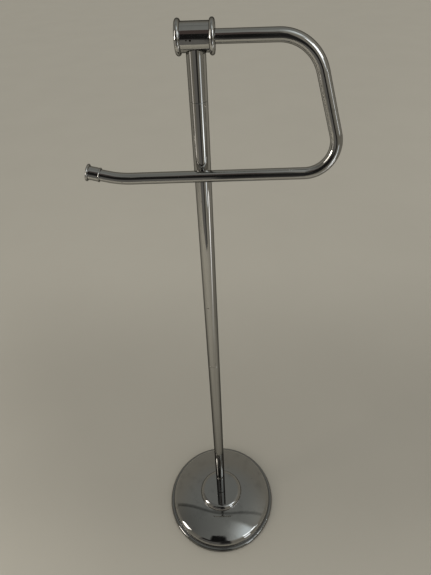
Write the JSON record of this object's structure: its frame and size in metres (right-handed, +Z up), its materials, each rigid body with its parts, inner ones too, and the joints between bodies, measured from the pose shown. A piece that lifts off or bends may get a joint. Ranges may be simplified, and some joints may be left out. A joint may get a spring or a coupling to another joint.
{
  "type": "free-standing paper roll holder",
  "caption": "Free-standing chromed roll holder: a round weighted base, a slim pole and a bent arm that swings from a beaded head and takes a paper roll.",
  "frame": {"origin": "on the floor, at the middle of the base and on the pole's axis", "axes": "+Z up the pole; +X along the head, towards the side where the arm leaves it; -Y is the front, where the arm hangs"},
  "size_m": [0.1738, 0.154, 0.6374],
  "materials": {
    "chrome": "polished chrome plate",
    "plated_steel": "zinc plated",
    "casting": "as cast",
    "pad": "matt foam rubber",
    "bush": "plain nylon"
  },
  "bodies": {
    "stand": {"base_cover": "chrome", "base_weight": "casting", "base_pad": "pad", "base_bolt": "plated_steel", "base_flat_washer": "plated_steel", "base_lock_washer": "plated_steel", "lower_pole_tube": "chrome", "lower_foot_insert": "plated_steel", "lower_top_insert": "plated_steel", "joint_stud": "plated_steel", "upper_pole_tube": "chrome", "upper_foot_insert": "plated_steel", "upper_top_insert": "plated_steel", "neck_stud": "plated_steel", "neck_tube": "chrome", "neck_insert": "plated_steel", "head_sleeve": "chrome", "head_ring": "chrome", "head_cap": "chrome", "pivot_bush": "bush"},
    "arm": {"arm_tube": "chrome", "arm_plug": "plated_steel", "pivot_washer": "plated_steel", "pivot_screw": "plated_steel", "arm_tip_cap": "chrome"}
  },
  "joints": [
    {"name": "arm_swing", "type": "hinge", "parent": "stand", "child": "arm", "pos_m": [0, 0, 0.6276], "axis": [-1, 0, 0], "range_deg": [0, 345]}
  ]
}
